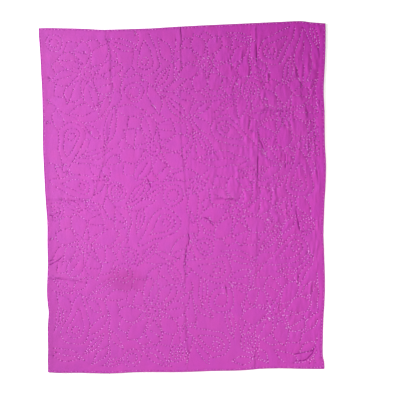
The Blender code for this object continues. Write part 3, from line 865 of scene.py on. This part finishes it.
def draw_maps(data, seams, middle):
    """UV maps: each face's place from the gap that it feels most, in that gap's radii, and from its
    nearest row, as how far along it and how far to its left.
    """
    corners, sides = np.empty(len(data.loops), int), np.empty(len(data.polygons), int)
    data.loops.foreach_get("vertex_index", corners)
    data.polygons.foreach_get("loop_total", sides)
    places, centres = np.empty((len(data.vertices), 3)), np.empty((len(sides), 3))
    data.vertices.foreach_get("co", places.ravel())
    data.polygons.foreach_get("center", centres.ravel())
    owner = np.repeat(np.arange(len(sides)), sides)
    spots, below = places[corners, :2] / MM + middle, (centres[:, 2] < LOWEST)[owner]
    centres = centres[:, :2] / MM + middle
    gap = seams.felt_gaps(centres)[owner]
    _, row_place, row = (found[owner] for found in nearest(seams.row_tree, centres))
    from_gap, lean = spots - seams.gaps[gap], seams.lean[gap]
    from_gap -= (from_gap * lean).sum(axis=1)[:, None] * lean
    from_gap /= seams.gap_radius[gap, None]
    offset, heading = spots - row_place, seams.heading[row]
    along = seams.along[row] + (offset * heading).sum(axis=1)
    across = offset[:, 1] * heading[:, 0] - offset[:, 0] * heading[:, 1]
    from_row = np.column_stack([along, across])
    from_gap[below] = from_row[below] = FAR
    for name, values in (("gap", from_gap), ("row", from_row)):
        data.uv_layers.new(name=name).uv.foreach_set("vector", values.ravel())


def placed_object(context, name, mesh, finish):
    """An object made of a bmesh, which is then freed."""
    data = bpy.data.meshes.new(name.replace("_", " "))
    mesh.to_mesh(data)
    mesh.free()
    data.materials.append(finish)
    made = bpy.data.objects.new(name, data)
    context.collection.objects.link(made)
    return made


class QUILT_OT_cloth(bpy.types.Operator):
    """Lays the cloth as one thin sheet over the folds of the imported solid"""

    bl_idname = "quilt.cloth"
    bl_label = "Cloth"

    def execute(self, context):
        sizes = context.scene.quilt_cloth
        seams = seams_of(context.scene)
        middle = middle_of_quilt()
        sheet = bmesh.new()
        across, along = sizes.cells
        bmesh.ops.create_grid(sheet, x_segments=across, y_segments=along, size=0.5)
        shares = np.array([vert.co.xy for vert in sheet.verts]) + 0.5
        flat = on_outline(*drawn_to_rim(shares, sizes.cells).T)
        cell = np.ptp(flat[:, 0]) / across
        points, height, tuck, crest = lay_cloth(rounded_corners(flat), seams, sizes, cell)
        places = np.column_stack([(points - middle) * MM, height * MM])
        tuck_layer, crest_layer = (sheet.verts.layers.float.new(name) for name in ("tuck", "crest"))
        for vert, place, painted_shade, high in zip(sheet.verts, places, tuck, crest):
            vert.co = place
            vert[tuck_layer], vert[crest_layer] = painted_shade, high
        close_underside(sheet)
        for face in sheet.faces:
            face.smooth = abs(face.normal.z) < LEVEL or face.calc_center_median().z > 0
        cloth = placed_object(context, "quilt_cloth", sheet, cotton(sizes))
        draw_maps(cloth.data, seams, middle)
        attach(cloth, BODY)
        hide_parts(NODE)
        return {"FINISHED"}


# ---- thread ----


def stitch_form(sizes):
    """One stitch along X: a short thread that rises out of the cloth and goes back in."""
    form = bmesh.new()
    half, radius = sizes.stitch / 2, sizes.width / 2
    circle = bmesh.ops.create_circle(form, segments=STITCH_SIDES, radius=radius)["verts"]
    bmesh.ops.rotate(form, verts=circle, matrix=Matrix.Rotation(math.pi / 2, 3, "Y"))
    bmesh.ops.translate(form, verts=circle, vec=(-half, 0, 0))
    edges = list(form.edges)
    for _ in range(STITCH_STEPS):
        made = bmesh.ops.extrude_edge_only(form, edges=edges)["geom"]
        moved = [item for item in made if isinstance(item, bmesh.types.BMVert)]
        bmesh.ops.translate(form, verts=moved, vec=(2 * half / STITCH_STEPS, 0, 0))
        edges = [item for item in made if isinstance(item, bmesh.types.BMEdge) and item.is_boundary]
    thread = form.loops.layers.uv.new("thread")
    bmesh.ops.holes_fill(form, edges=form.edges, sides=STITCH_SIDES)
    bmesh.ops.recalc_face_normals(form, faces=form.faces)

    def turn_round(place):
        return math.atan2(place.y, place.z) / (2 * math.pi)

    for face in form.faces:
        middle = turn_round(face.calc_center_median())
        for loop in face.loops:
            turn = turn_round(loop.vert.co)
            loop[thread].uv = (loop.vert.co.x, turn - round(turn - middle))
    lift = sizes.rise + STITCH_SUNK
    for vert in form.verts:
        end = (vert.co.x / half) ** 4
        vert.co.y *= 1 - STITCH_TAPER * end
        vert.co.z = vert.co.z * (STITCH_FLAT - END_FLAT * end) + lift * (1 - end) - STITCH_SUNK
    data = bpy.data.meshes.new("stitch form")
    form.to_mesh(data)
    form.free()
    return data


def stitch_place(tree, here, run, reach, draw):
    """Where one stitch goes: on the cloth, along the row, tipped with the cloth's slope."""
    run = Vector((*run, 0)).normalized()
    run.rotate(Matrix.Rotation(draw.normal(0, STITCH_TURN), 3, "Z"))
    here = Vector((*here, 0)) + Vector((-run.y, run.x, 0)) * draw.normal(0, STITCH_STRAY) * MM

    def surface(point):
        hit = tree.ray_cast(Vector((point.x, point.y, ABOVE_ALL)), Vector((0, 0, -1)))[0]
        return hit if hit else Vector((point.x, point.y, EDGE_HEIGHT))

    front, back, under = surface(here + reach * run), surface(here - reach * run), surface(here)
    x = (front - back).normalized()
    y = Vector((0, 0, 1)).cross(x).normalized()
    axes = Matrix((x, y, x.cross(y))).transposed().to_4x4()
    return Matrix.Translation((front + back + 2 * under) / 4) @ axes


class QUILT_OT_stitches(bpy.types.Operator):
    """Sews a running stitch of soft thread along every row"""

    bl_idname = "quilt.stitches"
    bl_label = "Stitches"

    groups = 3  # the stitches are shared out among this many joined meshes

    def execute(self, context):
        sizes = context.scene.quilt_thread
        cloth = bpy.data.objects["quilt_cloth"]
        seams = seams_of(context.scene)
        tree = BVHTree.FromObject(cloth, context.evaluated_depsgraph_get())
        spots = (seams.stitches - middle_of_quilt()) * MM
        form = stitch_form(sizes)
        draw = np.random.default_rng(THREAD_SEED)
        joined = [bmesh.new() for _ in range(self.groups)]
        for count, (spot, run, proud) in enumerate(zip(spots, seams.runs, seams.proud)):
            if proud < HIDDEN_STITCH:
                continue
            place = stitch_place(tree, spot, run, STITCH_FEET * sizes.stitch, draw)
            grown = place @ Matrix.Diagonal((*(between(ends, proud) for ends in STITCH_SIZES), 1))
            form.transform(grown)
            joined[count % self.groups].from_mesh(form)
            form.transform(grown.inverted())
        bpy.data.meshes.remove(form)
        finish = soft_thread(sizes)
        for count, mesh in enumerate(joined):
            for vert in mesh.verts:
                vert.co.z = max(vert.co.z, LOWEST)
            piece = placed_object(context, f"stitches_{count + 1}", mesh, finish)
            piece.data.shade_smooth()
            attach(piece, BODY)
        return {"FINISHED"}


# ---- materials ----


class Value:
    """A node's output that does its maths as Math nodes."""

    def __init__(self, finish, source):
        self.finish, self.source = finish, source

    def maths(self, operation, *others):
        return self.finish.maths(operation, self, *others)

    def maths_after(self, operation, other):
        return self.finish.maths(operation, other, self)

    __add__ = __radd__ = functools.partialmethod(maths, "ADD")
    __mul__ = __rmul__ = functools.partialmethod(maths, "MULTIPLY")
    __sub__ = functools.partialmethod(maths, "SUBTRACT")
    __pow__ = functools.partialmethod(maths, "POWER")
    __rsub__ = functools.partialmethod(maths_after, "SUBTRACT")
    __rpow__ = functools.partialmethod(maths_after, "POWER")
    above = functools.partialmethod(maths, "GREATER_THAN")
    sine = functools.partialmethod(maths, "SINE")
    size = functools.partialmethod(maths, "ABSOLUTE")

    def clamped(self):
        made = self + 0.0
        made.source.node.use_clamp = True
        return made


class Finish:
    """A material on a Principled shader, whose nodes all come from node()."""

    def __init__(self, name, inputs):
        self.material = bpy.data.materials.new(name)
        self.material.use_nodes = True
        self.tree = self.material.node_tree
        self.shader = self.tree.nodes["Principled BSDF"]
        self.set(inputs)

    def set(self, inputs):
        for name, value in inputs.items():
            self.feed(self.shader.inputs[name], value)

    def feed(self, socket, value):
        if isinstance(value, Value):
            self.tree.links.new(value.source, socket)
        else:
            socket.default_value = value

    def node(self, kind, settings=None, inputs=None, output=0):
        made = self.tree.nodes.new(kind)
        for name, value in (settings or {}).items():
            setattr(made, name, value)
        for name, value in (inputs or {}).items():
            self.feed(made.inputs[name], value)
        return Value(self, made.outputs[output])

    def maths(self, operation, *values):
        return self.node("ShaderNodeMath", {"operation": operation}, dict(enumerate(values)))

    def vector(self, operation, *values, output=0):
        return self.node("ShaderNodeVectorMath", {"operation": operation}, dict(enumerate(values)), output)

    def place(self, layer=None):
        if layer:
            return self.node("ShaderNodeUVMap", {"uv_map": layer})
        return self.node("ShaderNodeTexCoord", output="Object")

    def split(self, place):
        """The first two parts of a place."""
        first = self.node("ShaderNodeSeparateXYZ", None, {0: place})
        return first, Value(self, first.source.node.outputs[1])

    def noise(self, place, scale, detail=2.0, roughness=0.5):
        inputs = {"Vector": place, "Scale": scale, "Detail": detail, "Roughness": roughness}
        return self.node("ShaderNodeTexNoise", None, inputs)

    def mixed(self, share, first, second, blend="MIX"):
        settings = {"data_type": "RGBA", "blend_type": blend}
        first, second = (tint if isinstance(tint, Value) else (*tint, 1) for tint in (first, second))
        return self.node("ShaderNodeMix", settings, {0: share, 6: first, 7: second}, output=2)

    def shaded(self, tone, shade):
        """A colour made lighter or darker."""
        grey = self.node("ShaderNodeCombineXYZ", None, {0: shade, 1: shade, 2: shade})
        return self.mixed(1.0, tone, grey, "MULTIPLY")

    def bump(self, height, distance):
        return self.node("ShaderNodeBump", None, {"Height": height, "Distance": distance})


def summed(start, *terms):
    """A number with shares of some values added."""
    return sum((share * value for share, value in terms), start)


YARN_PITCH = 0.55 * MM  # of the woven cotton
YARN_ROUND = 0.6
YARN_LIFT = (0.55, 0.45)
SLUB_STRETCHES = ((1100, 60, 1), (60, 1100, 1))
# noise: scale, detail and roughness
COTTON_GRAINS = ((170.0, 3.0), (5.5, 2.0), (28.0, 4.0, 0.6), (19.0, 5.0, 0.7), (45.0, 4.0), (95.0, 3.0, 0.55))
# how much of the saturated dye shows through painted sheen, which pales the lit left side: at the middle,
# across and up in each metre, and what a metre up adds to both
UNSHEENED_MIDDLE, UNSHEENED_ACROSS, UNSHEENED_UP = 0.33, (0.50, 0.40), (0.1, 0.28)
CLOUDINESS, CREST_FADE = 0.4, 0.6
CASTS = ((0.985, 1.0, 1.02), (1.015, 0.98, 0.94))  # of the bluer and the redder patches
CAST_GAIN, CAST_START = 3.0, 0.33
STAIN_PLACE = (-0.254, -0.367)
STAIN_SIZE = (0.102, 0.055)
STAIN_RAGGED, STAIN_RIM, STAIN_GAIN, STAIN_DEPTH = 0.7, 1.15, 1.5, 0.5
# painted shade along each row's groove
ROW_GROOVE_SHADE = 0.12
LIGHT_POOL_PLACE = (-0.10, 0.05)  # a painted pool of light: the middle is painted a little lighter
LIGHT_POOL_REACH = 0.32
# painted shade: where the cloth is painted a little darker at its left side and its upper right and lower
# left corners, and how fast
LEFT_SHADE_START, LEFT_SHADE_GAIN = -0.42, 5.0
CORNER_SHADE_START, CORNER_SHADE_GAIN = 0.19, 7.0


def cotton(sizes):
    """Soft washed magenta cotton: plain weave with slubs, high places worn pale; painted shade at gaps, along
    rows, at crease feet, along the edge, at the left side and two corners and in the weave, a painted pool of
    light at the middle, and painted sheen paling the left side.
    """
    finish = Finish(
        "magenta cotton", {"Sheen Weight": 0.15, "Sheen Roughness": 0.45, "Specular IOR Level": 0.25}
    )
    cloth = finish.vector("MULTIPLY", finish.place(), (1, 1, 0))
    x, y = finish.split(cloth)
    layers = ({"attribute_name": name} for name in ("crest", "tuck"))
    crest, tuck = (finish.node("ShaderNodeAttribute", layer, output="Fac") for layer in layers)
    mottle, cloudy, fade, patches, ragged, crumple = (finish.noise(cloth, *grain) for grain in COTTON_GRAINS)

    warp, weft = ((part * (math.pi / YARN_PITCH)).sine() for part in (x, y))
    over = (warp * weft).above(0.0)
    warp_top = warp.size() ** YARN_ROUND * between(YARN_LIFT, weft.size())
    weft_top = weft.size() ** YARN_ROUND * between(YARN_LIFT, warp.size())
    weave = over * warp_top + (1.0 - over) * weft_top
    stretched = (finish.vector("MULTIPLY", cloth, stretch) for stretch in SLUB_STRETCHES)
    slubs = 0.5 * sum(finish.noise(place, 1.0) for place in stretched)

    # painted sheen: the colour pales towards the lit left side along a plane across and up; clouds and worn
    # crests fade it for real
    kept = UNSHEENED_MIDDLE + x * between(UNSHEENED_ACROSS, y) + y * between(UNSHEENED_UP, y)
    kept = (kept + CLOUDINESS * (cloudy - 0.5) - CREST_FADE * crest * fade).clamped()
    tone = finish.mixed(kept, sizes.sheened_and_faded, sizes.base)
    cast = finish.mixed((CAST_GAIN * (patches - CAST_START)).clamped(), *CASTS)
    tone = finish.mixed(1.0, tone, cast, "MULTIPLY")

    offset = finish.vector("SUBTRACT", cloth, (*STAIN_PLACE, 0))
    spread = finish.vector("MULTIPLY", offset, (1 / STAIN_SIZE[0], 1 / STAIN_SIZE[1], 0))
    radius = finish.vector("LENGTH", spread, output="Value") + STAIN_RAGGED * (ragged - 0.5)
    stained = (STAIN_GAIN * (STAIN_RIM - radius)).clamped()
    tone = finish.mixed(STAIN_DEPTH * stained, tone, sizes.stain)

    # painted shade: the colour darkens towards the painted-shade colour at each gap's dip, along each row and
    # where the tuck attribute says
    from_gap = finish.vector("LENGTH", finish.place("gap"), output="Value")
    dip = 0.5 ** (from_gap * from_gap)
    seam = 0.5 ** finish.split(finish.place("row"))[1].size()
    tone = finish.mixed(summed(dip, (ROW_GROOVE_SHADE, seam), (1, tuck)).clamped(), tone, sizes.painted_shade)

    # painted light: a lighter pool round the middle
    pale = finish.vector("DISTANCE", cloth, (*LIGHT_POOL_PLACE, 0), output="Value") * (1 / LIGHT_POOL_REACH)
    # painted shade towards the left side and the upper right and lower left corners
    side = ((LEFT_SHADE_START - x) * LEFT_SHADE_GAIN).clamped()
    corner = ((x * y - CORNER_SHADE_START) * CORNER_SHADE_GAIN).clamped()
    # the weave's hollows are painted darker than its yarn tops as painted shade; slubs, mottle and patches
    # vary the tone at random
    shade = summed(
        1.0, (-0.045, side), (-0.035, corner), (0.08, 0.5 ** (pale * pale)), (0.16, slubs - 0.5),
        (0.14, mottle - 0.5), (0.1, patches - 0.5), (0.05, weave - 0.6),
    )
    relief = summed(
        0.0, (1.2, (crumple - 0.5).size()), (0.10, weave), (0.12, slubs), (-0.8, dip), (-0.35, seam)
    )
    finish.set({
        "Base Color": finish.shaded(tone, shade),
        "Roughness": summed(0.84, (0.1, mottle), (-0.06, crest)),
        "Normal": finish.bump(relief, MM),
    })
    return finish.material


TWIST_PITCH = 2.6 * MM  # of the thread's strands
STRANDS = 2
AGE_GRAIN, FLUFF_GRAIN = 14.0, 2600.0
AGED, AGE_GAIN, AGE_START = 0.86, 1.6, 0.4
THREAD_BUMP = 0.22 * MM


def soft_thread(sizes):
    """Off-white cotton thread of a few loosely twisted strands."""
    finish = Finish("stitching thread", {"Roughness": 0.75, "Sheen Weight": 0.3, "Sheen Roughness": 0.4})
    age, fluff = (finish.noise(finish.place(), grain) for grain in (AGE_GRAIN, FLUFF_GRAIN))
    along, around = finish.split(finish.place("thread"))
    strands = (2 * math.pi * (along * (1 / TWIST_PITCH) + STRANDS * around)).sine().size()
    aged = (AGE_GAIN * (age - AGE_START)).clamped()
    tone = finish.mixed(aged, sizes.tint, [AGED * part for part in sizes.tint])
    # painted shade: the grooves between the strands are darker; fluff varies the tone at random
    shade = summed(0.78, (0.24, fluff), (0.16, strands))
    height = summed(strands, (0.4, fluff))
    finish.set({"Base Color": finish.shaded(tone, shade), "Normal": finish.bump(height, THREAD_BUMP)})
    return finish.material


FLOOR_ROUGH, FLOOR_GRAIN, FLOOR_SHADE = 0.9, 3.0, 0.985


def pale(tint, glow):
    """A plain finish for the floor, with a breath of unevenness."""
    glowing = {"Emission Color": (1, 1, 1, 1), "Emission Strength": glow}
    finish = Finish("pale floor", {"Roughness": FLOOR_ROUGH, **glowing})
    soft = finish.noise(finish.place(), FLOOR_GRAIN)
    finish.set({"Base Color": finish.mixed(soft, tint, [FLOOR_SHADE * part for part in tint])})
    return finish.material


# ---- stage ----


class QUILT_OT_stage(bpy.types.Operator):
    """Sets out the pale floor, the soft light from the left and the camera above"""

    bl_idname = "quilt.stage"
    bl_label = "Stage"

    # the camera stands a little to the right of and below the quilt's middle
    camera_place = (0.078, -0.012)
    floor_half = 6.0
    floor_cells = 8
    even_tint = (1.01, 1.0, 0.965, 1)
    # name, place, width and height, share of the key power, tint; both point at the quilt's middle
    lights = (
        ("window light", (-3.8, 0.9, 1.12), (0.9, 0.6), 1.0, (0.98, 1.0, 1.04)),
        ("ceiling light", (0.8, -0.8, 2.0), (1.4, 1.4), 0.088, (1.01, 1.0, 0.94)),
    )

    def execute(self, context):
        scene, settings = context.scene, context.scene.quilt_stage
        mesh = bmesh.new()
        cells = self.floor_cells
        bmesh.ops.create_grid(mesh, x_segments=cells, y_segments=cells, size=self.floor_half)
        floor = placed_object(context, "floor", mesh, pale(settings.floor, settings.glow))
        for name, place, size, share, tint in self.lights:
            data = bpy.data.lights.new(name, "AREA")
            data.shape = "RECTANGLE"
            data.size, data.size_y = size
            data.energy = settings.key * share
            data.color = tint
            light = bpy.data.objects.new(name, data)
            light.location = place
            light.rotation_euler = (-Vector(place)).to_track_quat("-Z", "Y").to_euler()
            context.collection.objects.link(light)
        scene.world = bpy.data.worlds.new("even light")
        scene.world.use_nodes = True
        even = scene.world.node_tree.nodes["Background"].inputs
        even["Color"].default_value = self.even_tint
        even["Strength"].default_value = settings.fill
        scene.view_settings.view_transform = "Standard"
        data = bpy.data.cameras.new("camera")
        data.lens = settings.lens
        scene.camera = bpy.data.objects.new("camera", data)
        away = settings.view_width * data.lens / data.sensor_width
        scene.camera.location = (*self.camera_place, away)
        context.collection.objects.link(scene.camera)
        return {"FINISHED"}


# ---- panel ----


class QUILT_PT_panel(bpy.types.Panel):
    """Lists the quilt's settings and what makes it"""

    bl_idname = "QUILT_PT_panel"
    bl_label = "Kantha quilt"
    bl_space_type = "VIEW_3D"
    bl_region_type = "UI"
    bl_category = "Quilt"

    def draw(self, context):
        for name in GROUPS:
            group, box = getattr(context.scene, name), self.layout.box()
            for setting in type(group).__annotations__:
                box.prop(group, setting)
        for operator in OPERATORS:
            self.layout.operator(operator.bl_idname)


GROUPS = {
    "quilt_cloth": QuiltClothSettings,
    "quilt_thread": QuiltThreadSettings,
    "quilt_stage": QuiltStageSettings,
}
OPERATORS = (QUILT_OT_cloth, QUILT_OT_stitches, QUILT_OT_stage)
KINDS = (*GROUPS.values(), *OPERATORS, QUILT_PT_panel)


def register():
    for kind in KINDS:
        bpy.utils.register_class(kind)
    for name, group in GROUPS.items():
        setattr(bpy.types.Scene, name, bpy.props.PointerProperty(type=group))


def unregister():
    for name in GROUPS:
        delattr(bpy.types.Scene, name)
    for kind in reversed(KINDS):
        bpy.utils.unregister_class(kind)


def main():
    register()
    bpy.ops.quilt.cloth()
    bpy.ops.quilt.stitches()
    bpy.ops.quilt.stage()


if __name__ == "__main__":
    main()
